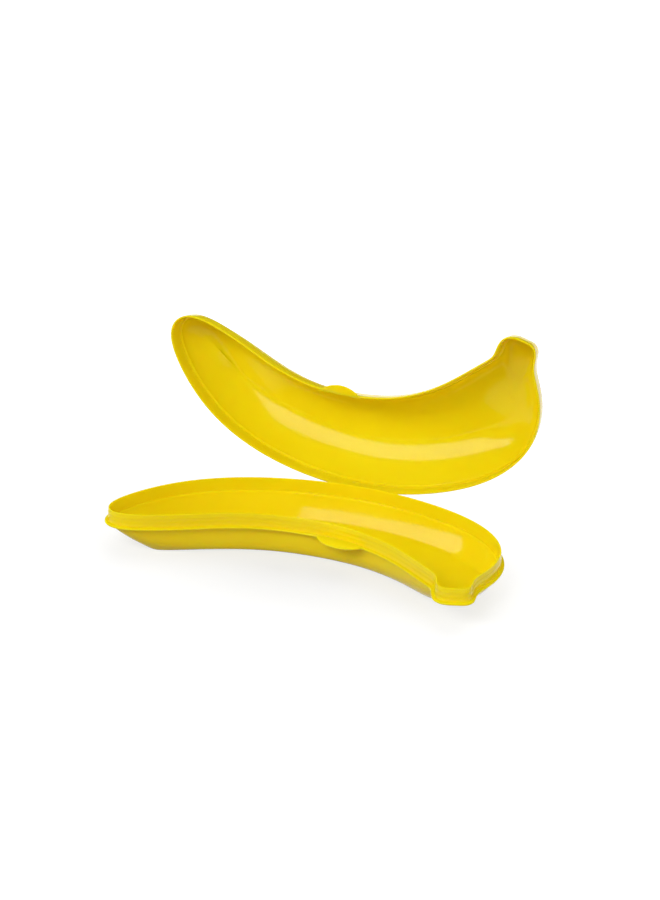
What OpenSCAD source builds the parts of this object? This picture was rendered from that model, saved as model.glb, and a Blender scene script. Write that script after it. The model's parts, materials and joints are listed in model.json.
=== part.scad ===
// Banana carrying case: a shallow base, a lid that fits over the base's collar, and a pin hinge
// in the middle of the long curved side. Millimetres, +Z up, the resting face at z = 0.
// +X runs along the hinge towards the stem, +Y runs from the belly towards the hinge.

/* [Case] */
// Length over the flange, along the hinge
case_length = 245.5; // [205:0.5:295]
// Width over the flange, square to the hinge
case_width = 113; // [93:0.5:136]
// Height from the resting face to the top of the base's flange
base_depth = 18.5; // [15:0.5:22.5]
// Height from the lid's rim to the top of its ridge
lid_depth = 30; // [25:0.5:36]
// How far the lid stands open, 0 is closed
open_angle = 100; // [0:1:165]

/* [Base moulding] */
// Side wall of the base
base_wall = 1.9; // [1.5:0.1:2.4]
// Floor of the base
base_floor = 2.5; // [2:0.1:3]
// Reach of the flange beyond the cavity's edge
flange_reach = 5; // [4.1:0.1:6]
// Thickness of the flange
flange_t = 1.4; // [1.1:0.1:1.8]
// Height of the collar above the flange
collar_h = 8.6; // [7.2:0.1:10.3]
// Thickness of the collar at its top
collar_t = 1; // [0.8:0.1:1.2]
// Width of the step inside the collar
ledge_w = 1.6; // [1.3:0.1:1.9]
// How far a snap rib stands out of the collar
rib_out = 0.22; // [0.15:0.01:0.28]
// Height of a snap rib
rib_h = 0.9; // [0.7:0.1:1.2]

/* [Lid moulding] */
// Side wall and top of the lid
lid_wall = 1.1; // [0.9:0.1:1.4]
// Thickness of the skirt at its rim
skirt_t = 1.4; // [1.1:0.1:1.7]
// Room above the closed collar, inside the skirt
skirt_room = 2.8; // [2.3:0.1:3.4]
// Room between the collar and the skirt's rim
skirt_gap = 0.8; // [0.7:0.05:1]
// How far the skirt's outer face leans in over its depth
skirt_lean = 0.7; // [0.4:0.1:0.9]
// Width of the step between the skirt and the dome
shoulder_w = 1.6; // [1.3:0.1:1.9]
// Rise of the ridge along the middle of the dome
ridge_h = 6; // [3:0.5:7.5]
// Gap between the flange and the closed rim
rim_gap = 0.25; // [0.2:0.05:0.4]

/* [Finger tabs] */
// Radius of a tab's round edge
tab_r = 19.5; // [17:0.5:23]
// Thickness of a tab
tab_t = 1.3; // [1.1:0.1:1.6]
// How far the base's tab stands out of the flange
base_tab_out = 8.2; // [6.8:0.1:9.9]
// Middle of the base's tab along the hinge
base_tab_x = 4; // [3:0.5:6]
// How far the lid's tab stands out of the skirt
lid_tab_out = 4.8; // [4:0.1:5.8]
// Middle of the lid's tab along the hinge
lid_tab_x = -24; // [-27:0.5:-23]

/* [Hinge] */
// Room between the flange's edge and a knuckle
hinge_room = 0.4; // [0.35:0.05:0.6]
// Outer diameter of a knuckle
knuckle_d = 4.2; // [3.5:0.1:5]
// Diameter of the hinge pin
pin_d = 2; // [1.7:0.1:2.4]
// Radial running clearance of the pin in its bores
pin_gap = 0.05; // [0.02:0.01:0.1]
// Length of each base knuckle
base_knuckle_l = 9; // [7.5:0.5:11]
// Length of the lid's knuckle
lid_knuckle_l = 17; // [14:0.5:20.5]
// End gap between neighbouring knuckles
knuckle_gap = 0.4; // [0.3:0.1:0.6]
// Thickness of the leaf that joins a knuckle to its moulding
leaf_t = 1.4; // [1.1:0.1:1.8]

/* [Hidden] */
// Rows of the shape: the cavity's edge x, y, the flat floor's edge x, y, how square the base's wall
// and the lid's wall are, and the share of the base's depth that its wall falls in a straight slope.
// The rows are control points of a closed cubic spline, from the tip along the inside of the bow to
// the stem and back along the outside of the bow.
shape_rows = [
    [-136.6, -47.6, -113.0, -39.5, 2.0, 2.0, 0.80],
    [-135.2, -57.2, -113.0, -46.0, 2.0, 2.2, 0.80],
    [-127.2, -60.4, -110.0, -49.5, 2.0, 2.8, 0.70],
    [-112.0, -56.0, -103.5, -47.8, 2.4, 3.8, 0.40],
    [ -90.0, -45.5,  -87.0, -40.0, 3.2, 4.6, 0.10],
    [ -65.5, -32.0,  -63.5, -27.3, 3.6, 4.8, 0.00],
    [ -38.5, -24.5,  -37.7, -19.6, 3.6, 4.2, 0.00],
    [ -12.0, -23.5,  -12.0, -18.0, 3.4, 3.3, 0.00],
    [  13.5, -26.0,   15.3, -19.2, 2.9, 2.9, 0.00],
    [  38.5, -36.0,   42.0, -28.0, 2.4, 2.9, 0.00],
    [  57.3, -50.0,   58.5, -37.0, 2.1, 3.0, 0.00],
    [  68.1, -58.5,   65.0, -40.5, 1.8, 2.6, 0.00],
    [  73.4, -62.3,   68.6, -40.5, 1.55, 2.0, 0.00],
    [  76.3, -67.5,   71.4, -39.8, 1.4, 1.8, 0.00],
    [  77.8, -75.8,   74.2, -38.8, 1.3, 1.8, 0.00],
    [  82.6, -76.3,   77.2, -37.7, 1.25, 1.8, 0.00],
    [  89.2, -73.8,   80.2, -36.3, 1.25, 1.8, 0.00],
    [  93.4, -73.0,   82.8, -34.3, 1.3, 1.8, 0.00],
    [  92.2, -66.5,   85.0, -31.8, 1.4, 1.8, 0.00],
    [  92.6, -58.0,   86.8, -28.5, 1.5, 1.8, 0.05],
    [  97.7, -47.0,   87.8, -24.0, 1.6, 1.8, 0.15],
    [ 100.6, -31.8,   88.0, -17.8, 1.7, 1.75, 0.30],
    [  97.7, -15.6,   87.0, -11.8, 1.8, 1.7, 0.60],
    [  86.2,   0.5,   79.5,  -6.2, 1.9, 1.65, 0.76],
    [  66.6,  13.6,   62.0,   5.4, 2.0, 1.6, 0.85],
    [  39.1,  23.0,   36.8,  13.9, 2.0, 1.6, 0.85],
    [   8.0,  28.0,    7.4,  18.6, 2.0, 1.6, 0.85],
    [ -23.1,  26.8,  -21.8,  17.5, 2.0, 1.6, 0.85],
    [ -54.6,  20.7,  -51.8,  11.7, 2.0, 1.6, 0.85],
    [ -84.1,   9.5,  -79.5,   1.2, 2.0, 1.65, 0.85],
    [-109.0,  -7.2, -100.0, -14.7, 2.0, 1.75, 0.80],
    [-126.8, -28.8, -108.5, -29.8, 2.0, 1.9, 0.80]
];
// Length and width of the cavity as the rows draw it
drawn_length = 235.2;
drawn_width = 103.2;
// Stations along each span of the spline
span_steps = 4;
// Rings down each curved wall
wall_steps = 8;
// Place of the ridge across the floor's width, from the inside of the bow
ridge_share = 0.625;
// Length over which the ridge dies away at the tip and at the stem
ridge_fade = [18, 32];

stretch_x = (case_length - 2 * flange_reach) / drawn_length;
stretch_y = (case_width - 2 * flange_reach) / drawn_width;
rows = [for (r = shape_rows)
    [r[0] * stretch_x, r[1] * stretch_y, r[2] * stretch_x, r[3] * stretch_y, r[4], r[5], r[6]]];

function spline(i, t) =
    let (n = len(rows))
    ((1 - t) ^ 3 * rows[(i + n - 1) % n]
        + (3 * t ^ 3 - 6 * t ^ 2 + 4) * rows[i]
        + (-3 * t ^ 3 + 3 * t ^ 2 + 3 * t + 1) * rows[(i + 1) % n]
        + t ^ 3 * rows[(i + 2) % n]) / 6;

stations = [for (i = [0:len(rows) - 1], s = [0:span_steps - 1]) spline(i, s / span_steps)];
count = len(stations);
half = count / 2;
rim = [for (s = stations) [s[0], s[1]]];
foot = [for (s = stations) [s[2], s[3]]];
base_square = [for (s = stations) s[4]];
lid_square = [for (s = stations) s[5]];
facet = [for (s = stations) s[6]];

// Unit vectors pointing out of a closed outline
function outward(p) = [for (k = [0:count - 1])
    let (d = p[(k + 1) % count] - p[(k + count - 1) % count])
    [d[1], -d[0]] / norm(d)];

rim_out = outward(rim);
foot_out = outward(foot);

// Edge of the cavity on the inside of the bow, at a place along the hinge
inner_bow = [for (k = [3 * span_steps:10 * span_steps]) rim[k]];
function bow_y(x) = lookup(x, inner_bow);
function bow_turn(x) = atan((bow_y(x + 5) - bow_y(x - 5)) / 10);
// Edge of the cavity on the outside of the bow, at a place along the hinge
outer_bow = [for (k = [29 * span_steps:-1:24 * span_steps]) rim[k]];
function back_y(x) = lookup(x, outer_bow);

// Ring that follows the cavity's edge at a distance
function edge_ring(reach, z) = [for (k = [0:count - 1])
    let (p = rim[k] + reach * rim_out[k])
    [p[0], p[1], z]];

// Middle line between the two sides of the floor. The stations are paired across the bow from the
// tip to the stem.
function pair(k) = min(max(min(k, count - k), 1), half - 1);
middle = [for (k = [0:count - 1])
    foot[pair(k)] + (foot[count - pair(k)] - foot[pair(k)]) * ridge_share];
// Part of the ridge's full rise at each station
function ease(t) = t < 1 ? (1 - cos(180 * t)) / 2 : 1;
fade = [for (p = middle)
    ease(norm(p - middle[1]) / ridge_fade[0]) * ease(norm(p - middle[half - 1]) / ridge_fade[1])];

// Ring part of the way along the base's wall, a = 0 at the edge and 90 at the floor
function base_ring(reach, foot_reach, z_edge, z_floor, a) = [for (k = [0:count - 1])
    let (e = 2 / base_square[k])
    let (w = pow(cos(a), e))
    let (h = pow(sin(a), e))
    let (p = rim[k] + reach * rim_out[k])
    let (q = foot[k] + foot_reach * foot_out[k])
    let (fall = h + (1 - w - h) * facet[k])
    [q[0] + (p[0] - q[0]) * w, q[1] + (p[1] - q[1]) * w, z_edge + (z_floor - z_edge) * fall]];

// Ring part of the way up the dome, a = 0 at the edge and 90 at the ridge
function dome_ring(reach, z_edge, z_top, a) = [for (k = [0:count - 1])
    let (e = 2 / lid_square[k])
    let (w = pow(cos(a), e))
    let (h = pow(sin(a), e))
    let (p = rim[k] + reach * rim_out[k])
    let (q = middle[k])
    [q[0] + (p[0] - q[0]) * w, q[1] + (p[1] - q[1]) * w,
     z_edge + (z_top - ridge_h - z_edge) * h + ridge_h * fade[k] * (1 - w)]];

// Line along the middle of a cap at a height, from the tip to the stem
function floor_line(z) = [for (k = [1:half - 1]) [middle[k][0], middle[k][1], z]];
function ridge_line(z_top) = [for (k = [1:half - 1])
    [middle[k][0], middle[k][1], z_top - ridge_h * (1 - fade[k])]];

// Triangles between a ring that starts at point a and its middle line that starts at point g
function cap_faces(a, g) = concat(
    [[a, a + 1, g], [a + count - 1, a, g]],
    [for (k = [1:half - 2]) each [
        [a + k, a + k + 1, g + k], [a + k, g + k, g + k - 1],
        [a + count - k - 1, a + count - k, g + k - 1], [a + count - k - 1, g + k - 1, g + k]]],
    [[a + half - 1, a + half, g + half - 2], [a + half, a + half + 1, g + half - 2]]);

// Closed solid through a list of rings, capped at both ends along a middle line
module rings_solid(list, first_line, last_line) {
    last = len(list) - 1;
    size = (last + 1) * count;
    points = concat(
        [for (ring = list) each ring],
        first_line,
        last_line);
    sides = [for (j = [0:last - 1], k = [0:count - 1])
        let (a = j * count + k)
        let (b = j * count + (k + 1) % count)
        each [[a, a + count, b + count], [a, b + count, b]]];
    last_cap = [for (f = cap_faces(last * count, size + half - 1)) [f[2], f[1], f[0]]];
    polyhedron(points = points, faces = concat(cap_faces(0, size), sides, last_cap), convexity = 12);
}

// Heights and reaches that the two mouldings share
flange_z = base_depth;
flange_low = flange_z - flange_t;
collar_top = flange_z + collar_h;
collar_face = ledge_w + collar_t;
collar_root = collar_face + 0.25;
rim_z = flange_z + rim_gap;
skirt_in = collar_face + skirt_gap;
skirt_deep = skirt_in - 0.25;
skirt_face = skirt_in + skirt_t;
skirt_h = collar_h + skirt_room;
skirt_end = rim_z + skirt_h;
shoulder_z = skirt_end + lid_wall;
dome_face = skirt_face - skirt_lean - shoulder_w;
dome_in = dome_face - lid_wall;
dome_top = rim_z + lid_depth;
edge_r = 0.3;
ledge_round = 0.5;
cavity_top = flange_z - ledge_round;
hinge_y = max([for (p = rim) p[1]]) + max(flange_reach, skirt_face) + hinge_room + knuckle_d / 2;
hinge_z = flange_z + rim_gap / 2;
bore_d = pin_d + 2 * pin_gap;
base_knuckle_x = lid_knuckle_l / 2 + knuckle_gap + base_knuckle_l / 2;
pin_l = lid_knuckle_l + 2 * knuckle_gap + 2 * base_knuckle_l;
wall_step = 90 / wall_steps;
case_yellow = [0.96, 0.78, 0.05];
pin_grey = [0.78, 0.79, 0.80];

// Node to draw, or all of them

// Reach of the leaning collar at a height above the flange
function collar_at(h) = collar_root + (collar_face - collar_root) * h / collar_h;

// One rounded rib across the collar's outer face
function rib_rings(h) = [
    edge_ring(collar_at(h - rib_h / 2), flange_z + h - rib_h / 2),
    edge_ring(collar_at(h) + rib_out, flange_z + h - rib_h / 6),
    edge_ring(collar_at(h) + rib_out, flange_z + h + rib_h / 6),
    edge_ring(collar_at(h + rib_h / 2), flange_z + h + rib_h / 2)];

module base_shell() {
    color(case_yellow)
    rings_solid(concat(
        [for (a = [90:-wall_step:wall_step / 2]) base_ring(base_wall, base_wall * 0.7, flange_low, 0, a)],
        [edge_ring(base_wall, flange_low),
         edge_ring(flange_reach - edge_r, flange_low),
         edge_ring(flange_reach, flange_low + edge_r),
         edge_ring(flange_reach, flange_z - edge_r),
         edge_ring(flange_reach - edge_r, flange_z),
         edge_ring(collar_root, flange_z)],
        rib_rings(collar_h * 0.36),
        rib_rings(collar_h * 0.68),
        [edge_ring(collar_face, collar_top - edge_r),
         edge_ring(collar_face - edge_r, collar_top),
         edge_ring(ledge_w + edge_r, collar_top),
         edge_ring(ledge_w, collar_top - edge_r),
         edge_ring(ledge_w, flange_z + edge_r),
         edge_ring(ledge_w - edge_r, flange_z),
         edge_ring(ledge_round, flange_z),
         edge_ring(0, cavity_top)],
        [for (a = [wall_step:wall_step:90]) base_ring(0, 0, cavity_top, base_floor, a)]),
        floor_line(0), floor_line(base_floor));
}

// Finger tab: a slice of a disc that stands out of an edge on the inside of the bow
module finger_tab(x, reach, out) {
    root = 1.2;
    translate([x, bow_y(x)])
    rotate(bow_turn(x))
    translate([0, -reach - out])
    linear_extrude(height = tab_t)
    intersection() {
        translate([0, tab_r]) circle(r = tab_r, $fn = 96);
        translate([-tab_r, -1]) square([2 * tab_r, out + root + 1]);
    }
}

module base_finger_tab() {
    color(case_yellow)
    translate([0, 0, flange_low + (flange_t - tab_t) / 2])
    finger_tab(base_tab_x, flange_reach, base_tab_out);
}

// Where the closed lid goes when it stands open
module as_opened() {
    translate([0, hinge_y, hinge_z])
    rotate([-open_angle, 0, 0])
    translate([0, -hinge_y, -hinge_z])
    children();
}

module lid_shell() {
    color(case_yellow)
    as_opened()
    rings_solid(concat(
        [for (a = [90 - wall_step:-wall_step:wall_step / 2])
            dome_ring(dome_in, skirt_end, dome_top - lid_wall, a)],
        [edge_ring(dome_in, skirt_end),
         edge_ring(skirt_deep, skirt_end),
         edge_ring(skirt_in, rim_z + edge_r),
         edge_ring(skirt_in + edge_r, rim_z),
         edge_ring(skirt_face - edge_r, rim_z),
         edge_ring(skirt_face, rim_z + edge_r),
         edge_ring(skirt_face - skirt_lean, shoulder_z - edge_r),
         edge_ring(skirt_face - skirt_lean - edge_r, shoulder_z),
         edge_ring(dome_face, shoulder_z)],
        [for (a = [wall_step:wall_step:90 - wall_step / 2]) dome_ring(dome_face, shoulder_z, dome_top, a)]),
        ridge_line(dome_top - lid_wall), ridge_line(dome_top));
}

module lid_finger_tab() {
    color(case_yellow)
    as_opened()
    translate([0, 0, rim_z + 0.05])
    finger_tab(lid_tab_x, skirt_face, lid_tab_out);
}

// Round bar along the hinge axis
module hinge_bar(d, length) {
    rotate([0, 90, 0]) cylinder(d = d, h = length, center = true, $fn = 64);
}

// Base knuckle with the leaf that runs under it into the flange
module base_knuckle(x) {
    leaf_y = back_y(x) + flange_reach - 1.2 - hinge_y;
    color(case_yellow)
    translate([x, hinge_y, hinge_z])
    difference() {
        union() {
            hinge_bar(knuckle_d, base_knuckle_l);
            translate([-base_knuckle_l / 2, leaf_y, -rim_gap / 2 - leaf_t])
                cube([base_knuckle_l, -leaf_y, leaf_t]);
        }
        hinge_bar(bore_d, base_knuckle_l + 1);
    }
}

module base_knuckle_left() base_knuckle(-base_knuckle_x);

module base_knuckle_right() base_knuckle(base_knuckle_x);

// Lid knuckle with the leaf that runs over it into the skirt
module lid_knuckle() {
    leaf_y = back_y(0) + skirt_face - 0.9 - hinge_y;
    color(case_yellow)
    as_opened()
    translate([0, hinge_y, hinge_z])
    difference() {
        union() {
            hinge_bar(knuckle_d, lid_knuckle_l);
            translate([-lid_knuckle_l / 2, leaf_y, rim_gap / 2 + 0.1])
                cube([lid_knuckle_l, -leaf_y, leaf_t]);
        }
        hinge_bar(bore_d, lid_knuckle_l + 1);
    }
}

module hinge_pin() {
    color(pin_grey)
    translate([0, hinge_y, hinge_z])
    hinge_bar(pin_d, pin_l);
}

base_shell();
base_finger_tab();
base_knuckle_left();
base_knuckle_right();
lid_shell();
lid_finger_tab();
lid_knuckle();
hinge_pin();
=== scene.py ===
# %% [markdown]
# # A banana case, step by step
# The case has three real parts: a shallow base, a domed lid and the wire that joins them at the hinge.
# The engineering model already holds their exact sizes, so this lesson does not measure anything again.
# It loads that model as a fixed frame and dresses it: smooth mouldings, soft corners, finishes and light.

# %% Load the frame
import json
import math

import bmesh
import bpy
from mathutils import Matrix, Quaternion, Vector


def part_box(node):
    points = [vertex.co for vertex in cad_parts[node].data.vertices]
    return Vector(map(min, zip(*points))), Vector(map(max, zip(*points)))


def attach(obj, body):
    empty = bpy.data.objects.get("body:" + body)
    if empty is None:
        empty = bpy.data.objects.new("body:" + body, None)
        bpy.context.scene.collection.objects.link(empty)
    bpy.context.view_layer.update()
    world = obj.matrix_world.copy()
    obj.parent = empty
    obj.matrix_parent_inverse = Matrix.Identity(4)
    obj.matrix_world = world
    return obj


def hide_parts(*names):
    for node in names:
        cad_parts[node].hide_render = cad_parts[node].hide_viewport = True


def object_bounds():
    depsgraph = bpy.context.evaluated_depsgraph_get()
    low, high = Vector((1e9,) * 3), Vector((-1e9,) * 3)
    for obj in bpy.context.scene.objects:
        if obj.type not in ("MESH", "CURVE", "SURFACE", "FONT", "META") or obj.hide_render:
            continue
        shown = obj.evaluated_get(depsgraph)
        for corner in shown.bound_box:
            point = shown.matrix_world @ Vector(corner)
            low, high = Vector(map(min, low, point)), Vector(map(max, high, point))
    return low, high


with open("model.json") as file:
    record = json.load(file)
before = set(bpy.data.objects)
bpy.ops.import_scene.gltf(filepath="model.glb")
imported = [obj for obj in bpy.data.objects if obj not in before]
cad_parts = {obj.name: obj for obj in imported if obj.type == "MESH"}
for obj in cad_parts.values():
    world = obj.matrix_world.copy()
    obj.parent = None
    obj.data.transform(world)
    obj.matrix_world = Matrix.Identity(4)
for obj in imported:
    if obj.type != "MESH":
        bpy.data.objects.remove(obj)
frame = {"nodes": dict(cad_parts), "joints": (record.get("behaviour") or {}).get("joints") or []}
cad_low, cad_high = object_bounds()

MM = 0.001
print("frame box in mm", [round(side / MM, 1) for side in cad_high - cad_low])

# %% [markdown]
# ## Where the hinge is
# The lid turns on one straight axis, and the frame knows its place and how far the lid stands open.
# With those two facts any point of the open lid can be turned back to where it sits on a closed case,
# which is the easiest pose in which to tell the top of the dome from its rim.

# %% Read the hinge
hinge = frame["joints"][0]
axis_at = Vector(hinge["pos_m"])
open_angle = math.radians(-hinge["range_deg"][0])
to_closed = Matrix.Rotation(open_angle, 3, "X")


def closed_height(point):
    return (to_closed @ (point - axis_at)).z


print("lid stands open by", round(math.degrees(open_angle)), "degrees")

# %% [markdown]
# ## Small helpers
# Operators work on whatever is selected, and loading the frame leaves its pieces selected.
# So each step first picks one object alone. A second helper puts a modifier on and applies it at once,
# so that the finished mesh holds the real shape.


# %% Pick one object, apply one modifier
def only(piece):
    bpy.ops.object.select_all(action="DESELECT")
    piece.select_set(True)
    bpy.context.view_layer.objects.active = piece


def applied(piece, kind, **settings):
    only(piece)
    modifier = piece.modifiers.new(kind.title(), kind)
    for name, value in settings.items():
        setattr(modifier, name, value)
    bpy.ops.object.modifier_apply(modifier=modifier.name)


# %% [markdown]
# ## From loose triangles to a clean moulding
# The two shells curve in every direction, so there is no simple primitive to start from.
# The frame already has their shape, but as loose triangles that would show as facets in a gloss finish.
# A copy is merged into one skin and its triangles are paired into quads. Topology influence asks for
# even rows of quads, which is what a subdivision surface needs in order to stay smooth.

# %% Copy a shell as quads
MERGE_WITHIN = 0.001 * MM
EVEN_ROWS = 1.5


def merge_points(piece):
    only(piece)
    bpy.ops.object.mode_set(mode="EDIT")
    bpy.ops.mesh.select_all(action="SELECT")
    bpy.ops.mesh.remove_doubles(threshold=MERGE_WITHIN)
    bpy.ops.object.mode_set(mode="OBJECT")


def quad_copy(node, name):
    piece = bpy.data.objects.new(name, frame["nodes"][node].data.copy())
    bpy.context.scene.collection.objects.link(piece)
    only(piece)
    bpy.ops.mesh.customdata_custom_splitnormals_clear()
    merge_points(piece)
    bpy.ops.object.mode_set(mode="EDIT")
    bpy.ops.mesh.select_all(action="SELECT")
    bpy.ops.mesh.tris_convert_to_quads(
        face_threshold=math.pi, shape_threshold=math.pi, topology_influence=EVEN_ROWS)
    bpy.ops.object.mode_set(mode="OBJECT")
    quads = sum(len(face.vertices) == 4 for face in piece.data.polygons)
    print(name, "has", quads, "quads of", len(piece.data.polygons), "faces")
    return piece


base_tray = quad_copy("base_shell", "base_tray")
lid_dome = quad_copy("lid_shell", "lid_dome")

# %% [markdown]
# ## The ridge along the lid
# A banana has flat sides that meet in long edges, and the lid copies one of them as a crease along
# its dome, inside and out. Subdivision would melt that crease away. One edge at the top of the dome is
# found by its height on the closed case, and loop select follows it from the tip to the stem. A bevel
# weight marks the loop, so that a later bevel can hold it.

# %% Mark the ridge
RIDGE_WEIGHT = 1.0
SEED_NEAR_MIDDLE = 5 * MM


def ridge_seed(mesh, outside):
    candidates = []
    for edge in mesh.edges:
        ends = [mesh.vertices[index] for index in edge.vertices]
        halfway = (ends[0].co + ends[1].co) / 2
        faces_up = (to_closed @ (ends[0].normal + ends[1].normal)).z > 0
        if faces_up == outside and abs(halfway.x) < SEED_NEAR_MIDDLE:
            candidates.append((closed_height(halfway), edge.index))
    return max(candidates)[1]


def select_edges(piece, chosen):
    only(piece)
    bpy.ops.object.mode_set(mode="EDIT")
    bpy.ops.mesh.select_mode(type="EDGE")
    bpy.ops.mesh.select_all(action="DESELECT")
    bpy.ops.object.mode_set(mode="OBJECT")
    for index in chosen:
        piece.data.edges[index].select = True
    bpy.ops.object.mode_set(mode="EDIT")


select_edges(lid_dome, [ridge_seed(lid_dome.data, True), ridge_seed(lid_dome.data, False)])
bpy.ops.mesh.loop_multi_select(ring=False)
bpy.ops.transform.edge_bevelweight(value=RIDGE_WEIGHT)
bpy.ops.object.mode_set(mode="OBJECT")
print("ridge edges", sum(edge.select for edge in lid_dome.data.edges))

# %% [markdown]
# ## Edges of the flat floor
# The base stands on a flat floor, and the floor meets the wall at a blunt angle that changes along the
# bow. Picking by angle would catch that edge in some places and miss it in others. So the flat faces
# underneath are selected instead, and their outline is taken as one loop.

# %% Find the floor's edges
FLOOR_BELOW = 4 * MM
LEVEL = 0.9999


def select_faces(piece, test):
    only(piece)
    bpy.ops.object.mode_set(mode="EDIT")
    bpy.ops.mesh.select_mode(type="FACE")
    bpy.ops.mesh.select_all(action="DESELECT")
    bpy.ops.object.mode_set(mode="OBJECT")
    for face in piece.data.polygons:
        face.select = test(face)
    bpy.ops.object.mode_set(mode="EDIT")


select_faces(base_tray, lambda face: face.normal.z < -LEVEL and face.center.z < FLOOR_BELOW)
bpy.ops.mesh.region_to_loop()
bpy.ops.object.mode_set(mode="OBJECT")
floor_edges = [edge.index for edge in base_tray.data.edges if edge.select]
print("floor edges", len(floor_edges))

# %% [markdown]
# ## Moulded corners
# A moulding has no knife-sharp corners: the tool leaves a small radius wherever two faces meet.
# The sharp edges of each rim are found by angle and given a small bevel, and so is the floor's edge. The
# bevel also holds each corner in place while the subdivision rounds the long curves between them. Hollow
# corners get a wider one, because melt flows round a wide fillet more easily, and that fillet is what
# catches the light along a step. One bevel does it all: its full width belongs to the ridge, and every
# other edge takes its share of that width as a weight.

# %% Find the corners
SHARP_FROM = math.radians(60)
LID_RIM_BELOW = 15 * MM


def on_base_rim(point):
    return point.z > FLOOR_BELOW


def on_lid_rim(point):
    return closed_height(point) < LID_RIM_BELOW


def rim_corners(mesh, on_rim, hollow_only):
    shape = bmesh.new()
    shape.from_mesh(mesh)
    corners = []
    for edge in shape.edges:
        sharp = edge.calc_face_angle() > SHARP_FROM
        wanted = not (hollow_only and edge.is_convex)
        if sharp and wanted and on_rim((edge.verts[0].co + edge.verts[1].co) / 2):
            corners.append(edge.index)
    shape.free()
    return corners


# %% Round the corners and smooth the shells
RIDGE_ROUND = 0.6 * MM
CORNER_ROUND = 0.22 * MM
HOLLOW_ROUND = 0.32 * MM
CORNER_STEPS = 1
SMOOTH_STEPS = 2


def add_weight(piece, edges, weight):
    select_edges(piece, edges)
    bpy.ops.transform.edge_bevelweight(value=weight)
    bpy.ops.object.mode_set(mode="OBJECT")


def round_corners(piece, floor, on_rim):
    corners = rim_corners(piece.data, on_rim, False)
    hollows = rim_corners(piece.data, on_rim, True)
    add_weight(piece, corners + floor, CORNER_ROUND / RIDGE_ROUND)
    add_weight(piece, hollows, (HOLLOW_ROUND - CORNER_ROUND) / RIDGE_ROUND)
    applied(piece, "BEVEL", limit_method="WEIGHT", width=RIDGE_ROUND, segments=CORNER_STEPS,
            use_clamp_overlap=False)
    applied(piece, "SUBSURF", levels=SMOOTH_STEPS, render_levels=SMOOTH_STEPS)
    only(piece)
    bpy.ops.object.shade_smooth()
    print(piece.name, "ends with", len(piece.data.polygons), "faces")


round_corners(base_tray, floor_edges, on_base_rim)
round_corners(lid_dome, [], on_lid_rim)

# %% [markdown]
# ## Finger tabs
# Each half has a thin tongue on the inside of the bow, and a finger under each one pulls the snap open.
# The tabs are flat slices of a disc, so a copy of each is enough. Its many flat triangles are dissolved
# into single faces, and a bevel of a few steps turns the cut edge into a round one, kind to fingers.

# %% Make the tabs
TAB_EDGE = 0.5 * MM
FLAT_WITHIN = math.radians(1)
BEVEL_FROM = math.radians(40)
BEVEL_STEPS = 4


def finger_tab(node, name):
    piece = quad_copy(node, name)
    bpy.ops.object.mode_set(mode="EDIT")
    bpy.ops.mesh.select_all(action="SELECT")
    bpy.ops.mesh.dissolve_limited(angle_limit=FLAT_WITHIN)
    bpy.ops.object.mode_set(mode="OBJECT")
    applied(piece, "BEVEL", limit_method="ANGLE", angle_limit=BEVEL_FROM, width=TAB_EDGE,
            segments=BEVEL_STEPS)
    merge_points(piece)
    bpy.ops.object.shade_smooth_by_angle(angle=BEVEL_FROM)
    return piece


base_tab = finger_tab("base_finger_tab", "base_tab")
lid_tab = finger_tab("lid_finger_tab", "lid_tab")

# %% [markdown]
# ## Hinge barrels
# A barrel is a short tube with a flat leaf that joins it to its moulding. By hand it starts as a
# cylinder on the hinge axis. Its ends are inset and bridged to open the bore, and a few faces on its side
# are extruded to make the leaf. The lid's barrel is made on the closed case and then turned open.

# %% Make a tube along the hinge
ROUND_SIDES = 64
pin_low, pin_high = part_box("hinge_pin")
pin_radius = (pin_high.z - pin_low.z) / 2
BORE_ROOM = 0.05 * MM
END_FACING = 0.9


def bar_along_hinge(name, left, right, radius):
    bpy.ops.object.select_all(action="DESELECT")
    bpy.ops.mesh.primitive_cylinder_add(
        vertices=ROUND_SIDES, radius=radius, depth=right - left,
        location=((left + right) / 2, axis_at.y, axis_at.z), rotation=(0, math.pi / 2, 0))
    piece = bpy.context.object
    piece.name = name
    bpy.ops.object.transform_apply(location=True, rotation=True, scale=True)
    return piece


def tube_along_hinge(name, left, right, radius):
    piece = bar_along_hinge(name, left, right, radius)
    select_faces(piece, lambda face: abs(face.normal.x) > END_FACING)
    bpy.ops.mesh.inset(thickness=radius - pin_radius - BORE_ROOM, use_individual=True)
    bpy.ops.mesh.bridge_edge_loops()
    bpy.ops.object.mode_set(mode="OBJECT")
    return piece


# %% Give a tube its leaf
LEAF_THICK = 1.4 * MM
LEAF_FROM_AXIS = 0.125 * MM
LEAF_FACING = 0.5
BARREL_EDGE = 0.25 * MM
BARREL_STEPS = 2


def add_leaf(piece, low, high, reach_y):
    def on_leaf_side(face):
        outside = face.normal.y < -LEAF_FACING and face.center.y < axis_at.y
        return outside and low < face.center.z - axis_at.z < high

    select_faces(piece, on_leaf_side)
    bpy.ops.mesh.extrude_region_move(TRANSFORM_OT_translate={"value": (0, reach_y - axis_at.y, 0)})
    bpy.ops.transform.resize(value=(1, 0, 1), center_override=(axis_at.x, reach_y, axis_at.z))
    bpy.ops.object.mode_set(mode="OBJECT")


def finish_barrel(piece):
    applied(piece, "BEVEL", limit_method="ANGLE", angle_limit=BEVEL_FROM, width=BARREL_EDGE,
            segments=BARREL_STEPS)
    merge_points(piece)
    bpy.ops.object.shade_smooth_by_angle(angle=BEVEL_FROM)
    print(piece.name, "has", len(piece.data.polygons), "faces")


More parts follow.
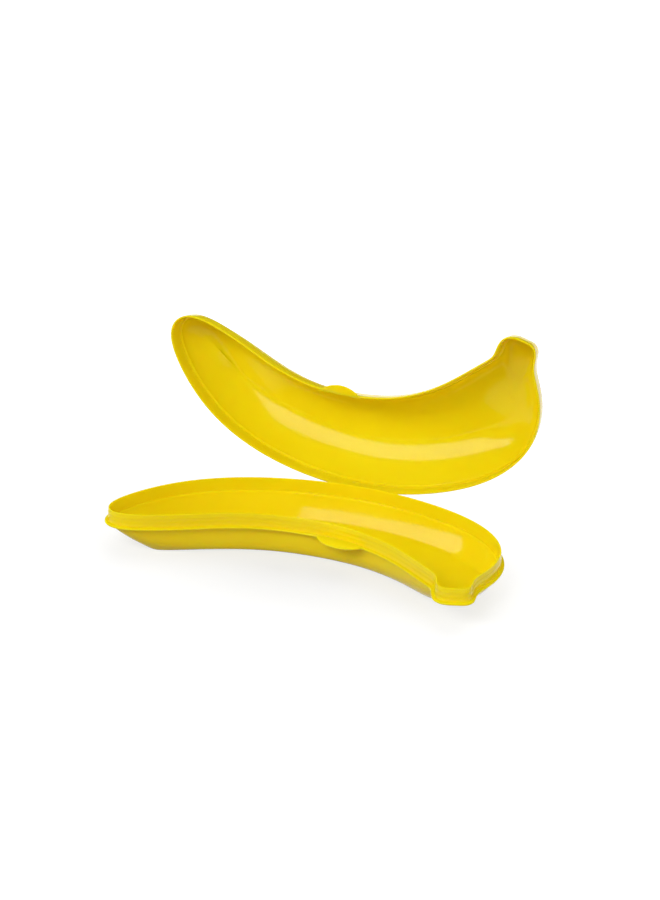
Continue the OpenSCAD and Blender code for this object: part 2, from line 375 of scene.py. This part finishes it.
def base_barrel(node, name):
    low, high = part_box(node)
    piece = tube_along_hinge(name, low.x, high.x, (high.z - low.z) / 2)
    add_leaf(piece, -LEAF_FROM_AXIS - LEAF_THICK, -LEAF_FROM_AXIS, low.y)
    finish_barrel(piece)
    return piece


barrel_left = base_barrel("base_knuckle_left", "barrel_left")
barrel_right = base_barrel("base_knuckle_right", "barrel_right")

# %% Make the lid's barrel and turn it open
lid_low, lid_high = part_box("lid_knuckle")
base_low, base_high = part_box("base_knuckle_left")
barrel_lid = tube_along_hinge("barrel_lid", lid_low.x, lid_high.x, (base_high.z - base_low.z) / 2)
knuckle = frame["nodes"]["lid_knuckle"].data
leaf_ends = [(to_closed @ (corner.co - axis_at)).y for corner in knuckle.vertices]
add_leaf(barrel_lid, LEAF_FROM_AXIS, LEAF_FROM_AXIS + LEAF_THICK, axis_at.y + min(leaf_ends))
finish_barrel(barrel_lid)
turn = Matrix.Rotation(-open_angle, 4, "X")
barrel_lid.data.transform(Matrix.Translation(axis_at) @ turn @ Matrix.Translation(-axis_at))

# %% [markdown]
# ## The hinge wire
# A plain steel wire runs through all three barrels. It is a cylinder whose two ends are rounded over,
# as a wire is when it has been cut and tumbled.

# %% Make the wire
WIRE_END = 0.35 * MM
hinge_wire = bar_along_hinge("hinge_wire", pin_low.x, pin_high.x, pin_radius)
applied(hinge_wire, "BEVEL", limit_method="ANGLE", angle_limit=BEVEL_FROM, width=WIRE_END,
        segments=BEVEL_STEPS)
bpy.ops.object.shade_smooth_by_angle(angle=BEVEL_FROM)
print("wire is", round((pin_high.x - pin_low.x) / MM, 1), "mm long")

# %% [markdown]
# ## Yellow plastic
# The case is glossy polypropylene, coloured all through. The colour drifts a little where the melt
# flowed, the gloss is a little uneven, and close up the skin has the faint ripple of a polished mould.
# Thin walls let some light through, so a part of it scatters under the skin and comes out warmer.

# %% Helpers for materials
NOISE_LOW = 0.3
NOISE_HIGH = 0.7


def new_material(name):
    material = bpy.data.materials.new(name)
    material.use_nodes = True
    nodes = material.node_tree.nodes
    return material, nodes, material.node_tree.links, nodes["Principled BSDF"]


def object_place(nodes, links):
    coords = nodes.new("ShaderNodeTexCoord")
    place = nodes.new("ShaderNodeMapping")
    links.new(coords.outputs["Object"], place.inputs["Vector"])
    return place


def noise(nodes, links, place, scale, detail):
    texture = nodes.new("ShaderNodeTexNoise")
    texture.inputs["Scale"].default_value = scale
    texture.inputs["Detail"].default_value = detail
    links.new(place.outputs[0], texture.inputs["Vector"])
    return texture


def ramp(nodes, links, source, stops):
    node = nodes.new("ShaderNodeValToRGB")
    for element, (position, colour) in zip(node.color_ramp.elements, stops):
        element.position = position
        element.color = colour
    links.new(source.outputs["Fac"], node.inputs["Fac"])
    return node


def span(nodes, links, source, low, high):
    node = nodes.new("ShaderNodeMapRange")
    node.inputs["From Min"].default_value = NOISE_LOW
    node.inputs["From Max"].default_value = NOISE_HIGH
    node.inputs["To Min"].default_value = low
    node.inputs["To Max"].default_value = high
    links.new(source.outputs["Fac"], node.inputs["Value"])
    return node


def bump(nodes, links, source, shader, strength, depth):
    node = nodes.new("ShaderNodeBump")
    node.inputs["Strength"].default_value = strength
    node.inputs["Distance"].default_value = depth
    links.new(source.outputs["Fac"], node.inputs["Height"])
    links.new(node.outputs["Normal"], shader.inputs["Normal"])


# %% Make the plastic
YELLOW_DEEP = (0.87, 0.68, 0.004, 1)
YELLOW_LIGHT = (0.91, 0.72, 0.006, 1)
FLOW_STOPS = [(0.35, YELLOW_DEEP), (0.65, YELLOW_LIGHT)]
FLOW_SCALE = 14
FLOW_DETAIL = 3
GLOSS_SCALE = 60
GLOSS_DETAIL = 4
PLASTIC_SMOOTH = 0.07
PLASTIC_ROUGH = 0.11
RIPPLE_SCALE = 700
RIPPLE_DETAIL = 2
RIPPLE_STRENGTH = 0.15
RIPPLE_DEPTH = 0.02 * MM

plastic, nodes, links, shader = new_material("yellow_moulding")
place = object_place(nodes, links)
flow = ramp(nodes, links, noise(nodes, links, place, FLOW_SCALE, FLOW_DETAIL), FLOW_STOPS)
links.new(flow.outputs["Color"], shader.inputs["Base Color"])
uneven = noise(nodes, links, place, GLOSS_SCALE, GLOSS_DETAIL)
gloss = span(nodes, links, uneven, PLASTIC_SMOOTH, PLASTIC_ROUGH)
links.new(gloss.outputs["Result"], shader.inputs["Roughness"])
ripple = noise(nodes, links, place, RIPPLE_SCALE, RIPPLE_DETAIL)
bump(nodes, links, ripple, shader, RIPPLE_STRENGTH, RIPPLE_DEPTH)

# %% Let light into the plastic
PLASTIC_IOR = 1.49
PLASTIC_SHINE = 0.16
SCATTER_SHARE = 0.8
SCATTER_COLOURS = (1.0, 0.75, 0.1)
SCATTER_DEPTH = 2.0 * MM
shader.inputs["IOR"].default_value = PLASTIC_IOR
shader.inputs["Specular IOR Level"].default_value = PLASTIC_SHINE
shader.inputs["Subsurface Weight"].default_value = SCATTER_SHARE
shader.inputs["Subsurface Radius"].default_value = SCATTER_COLOURS
shader.inputs["Subsurface Scale"].default_value = SCATTER_DEPTH
print("made", plastic.name)

# %% [markdown]
# ## Drawn steel
# Wire is pulled through a die, which leaves fine scratches along it. Noise stretched along the hinge
# axis gives those scratches in the gloss and in the bump.

# %% Make the steel
STEEL_STOPS = [(0.3, (0.50, 0.51, 0.52, 1)), (0.7, (0.62, 0.63, 0.64, 1))]
SCRATCH_STRETCH = (0.04, 1, 1)
SCRATCH_SCALE = 6000
SCRATCH_DETAIL = 2
STEEL_SMOOTH = 0.22
STEEL_ROUGH = 0.4
SCRATCH_STRENGTH = 0.2
SCRATCH_DEPTH = 0.01 * MM

steel, nodes, links, shader = new_material("drawn_steel")
place = object_place(nodes, links)
place.inputs["Scale"].default_value = SCRATCH_STRETCH
scratch = noise(nodes, links, place, SCRATCH_SCALE, SCRATCH_DETAIL)
tint = ramp(nodes, links, scratch, STEEL_STOPS)
links.new(tint.outputs["Color"], shader.inputs["Base Color"])
gloss = span(nodes, links, scratch, STEEL_SMOOTH, STEEL_ROUGH)
links.new(gloss.outputs["Result"], shader.inputs["Roughness"])
bump(nodes, links, scratch, shader, SCRATCH_STRENGTH, SCRATCH_DEPTH)
shader.inputs["Metallic"].default_value = 1.0
print("made", steel.name)

# %% [markdown]
# ## Put every piece on its body
# Each piece takes the place of its node of the frame and moves with that node's body,
# so that opening and closing the lid carries the dome, its tab and its barrel together.

# %% Dress the pieces
dressing = [
    (base_tray, "base_shell", "base"),
    (base_tab, "base_finger_tab", "base"),
    (barrel_left, "base_knuckle_left", "base"),
    (barrel_right, "base_knuckle_right", "base"),
    (hinge_wire, "hinge_pin", "base"),
    (lid_dome, "lid_shell", "lid"),
    (lid_tab, "lid_finger_tab", "lid"),
    (barrel_lid, "lid_knuckle", "lid"),
]
for piece, node, body in dressing:
    is_wire = piece is hinge_wire
    piece.data.materials.clear()
    piece.data.materials.append(steel if is_wire else plastic)
    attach(piece, body)
    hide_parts(node)
    print(piece.name, "rides on", body)

# %% [markdown]
# ## A white table
# Product pictures of this kind stand on a white sweep. One large plane is enough, because the camera
# looks down. Its glow is shown only to the camera and to mirror rays, so it whitens the picture without
# lighting the case. The glow is weaker round the case, and that dimmer patch is painted shade: it deepens
# the real soft shadow that the lamps cast on the table there.

# %% Make the table
TABLE_HALF = 12
TABLE_GREY = (0.3, 0.3, 0.3, 1)
TABLE_ROUGH = 0.9
WHITE = (1, 1, 1, 1)
bpy.ops.object.select_all(action="DESELECT")
bpy.ops.mesh.primitive_plane_add(size=2 * TABLE_HALF)
table = bpy.context.object
table.name = "table"
white, nodes, links, shader = new_material("white_table")
shader.inputs["Base Color"].default_value = TABLE_GREY
shader.inputs["Roughness"].default_value = TABLE_ROUGH
shader.inputs["Specular IOR Level"].default_value = 0.0
shader.inputs["Emission Color"].default_value = WHITE
table.data.materials.append(white)
print("table is", 2 * TABLE_HALF, "m wide")

# %% Dim the glow round the case
# The glow falls from GLOW_FAR to GLOW_NEAR towards SHADOW_MIDDLE. This is painted shade on the table round
# the case, laid over the real soft shadow.
SHADOW_REACH = (0.32, 0.15, 1)
SHADOW_MIDDLE = (-0.03, -0.045, 0)
GLOW_NEAR = 0.58
GLOW_FAR = 1.0
place = object_place(nodes, links)
place.vector_type = "TEXTURE"
place.inputs["Location"].default_value = SHADOW_MIDDLE
place.inputs["Scale"].default_value = SHADOW_REACH
painted_shade_spread = nodes.new("ShaderNodeTexGradient")
painted_shade_spread.gradient_type = "SPHERICAL"
links.new(place.outputs[0], painted_shade_spread.inputs["Vector"])
glow = nodes.new("ShaderNodeMapRange")
glow.inputs["To Min"].default_value = GLOW_FAR
glow.inputs["To Max"].default_value = GLOW_NEAR
links.new(painted_shade_spread.outputs["Fac"], glow.inputs["Value"])
print("glow is", GLOW_FAR, "far away and", GLOW_NEAR, "under the case")


# %% Show the glow only to the camera and to mirror rays
def combine(operation, first, second):
    node = nodes.new("ShaderNodeMath")
    node.operation = operation
    links.new(first, node.inputs[0])
    links.new(second, node.inputs[1])
    return node.outputs[0]


rays = nodes.new("ShaderNodeLightPath").outputs
straight = combine("ADD", rays["Is Camera Ray"], rays["Is Glossy Ray"])
any_seen = combine("ADD", straight, rays["Is Transmission Ray"])
shown = combine("MULTIPLY", glow.outputs["Result"], any_seen)
links.new(shown, shader.inputs["Emission Strength"])

# %% [markdown]
# ## Studio light
# The long pale streak inside the lid is the mirror image of one long softbox. Its two long edges show as
# the streak's edges, which fixes its height in front of the case, and it reaches far to the left.
# Plain panels overhead, behind, in front and at both sides light the rest. They are kept out of the gloss,
# as a polarising sheet would do, and the room itself is dim, so the streak keeps its crisp edges.


# %% Make a softbox
def softbox(name, middle, facing, width, height, radiance):
    bpy.ops.object.select_all(action="DESELECT")
    bpy.ops.object.light_add(type="AREA", location=middle)
    lamp = bpy.context.object
    lamp.name = name
    lamp.rotation_euler = (-facing).to_track_quat("Z", "Y").to_euler()
    lamp.data.shape = "RECTANGLE"
    lamp.data.size = width
    lamp.data.size_y = height
    lamp.data.energy = radiance * math.pi * width * height
    print(name, "gives", round(lamp.data.energy, 1), "W")
    return lamp


# %% Place the key light
case_middle = (cad_low + cad_high) / 2
KEY_TILT = math.radians(45)
KEY_DISTANCE = 2.2
KEY_LEFT = 1.9
KEY_WIDE = 3.9
KEY_TALL = 0.7
KEY_RADIANCE = 6.2
to_key = Vector((0, -math.cos(KEY_TILT), math.sin(KEY_TILT)))
key_middle = case_middle + KEY_DISTANCE * to_key - Vector((KEY_LEFT, 0, 0))
softbox("key_softbox", key_middle, -to_key, KEY_WIDE, KEY_TALL, KEY_RADIANCE)

# %% Place the panels and the room
PANEL_DISTANCE = 2.2
PANEL_WIDE = 2.4
PANEL_TALL = 1.8
panels = [
    ("top_panel", Vector((0, 0.25, 1.0)), 1.0),
    ("back_panel", Vector((0, 1.0, 0.9)), 1.4),
    ("front_panel", Vector((0.1, -1.0, 0.35)), 0.85),
    ("left_panel", Vector((-1.0, -0.4, 0.4)), 0.5),
    ("right_panel", Vector((1.0, -0.4, 0.4)), 1.6),
]
for name, direction, radiance in panels:
    to_panel = direction.normalized()
    middle = case_middle + PANEL_DISTANCE * to_panel
    panel = softbox(name, middle, -to_panel, PANEL_WIDE, PANEL_TALL, radiance)
    panel.visible_glossy = False

ROOM_LIGHT = 0.03
world = bpy.data.worlds.new("room")
bpy.context.scene.world = world
world.use_nodes = True
background = world.node_tree.nodes["Background"]
background.inputs["Color"].default_value = WHITE
background.inputs["Strength"].default_value = ROOM_LIGHT
print("room light", ROOM_LIGHT)

# %% [markdown]
# ## The camera
# The picture is taken from the front right, a little above, with a long lens that keeps the
# case free of strong perspective. The image is 660 by 900, and the sensor's width belongs to its long side.

# %% Set the camera
IMAGE_TALL = 900
SENSOR_WIDE = 36
FOCAL_PIXELS = 1833.7
CLIP_END = 100
camera_at = Vector((290.4, -971.0, 529.7)) * MM
looks_at = Vector((3.3, -56.0, 89.9)) * MM
roll = math.radians(2.12)

camera = bpy.data.objects.new("camera", bpy.data.cameras.new("camera"))
bpy.context.scene.collection.objects.link(camera)
camera.data.sensor_width = SENSOR_WIDE
camera.data.lens = FOCAL_PIXELS * SENSOR_WIDE / IMAGE_TALL
camera.location = camera_at
camera.rotation_mode = "QUATERNION"
aim = (looks_at - camera_at).to_track_quat("-Z", "Y")
camera.rotation_quaternion = aim @ Quaternion((0, 0, 1), roll)
camera.data.clip_end = CLIP_END
bpy.context.scene.camera = camera
bpy.context.scene.view_settings.view_transform = "Standard"
print("lens", round(camera.data.lens, 1), "mm")

# %% [markdown]
# ## Finish
# Last, the view layer is brought up to date.

# %% Finish
bpy.context.view_layer.update()
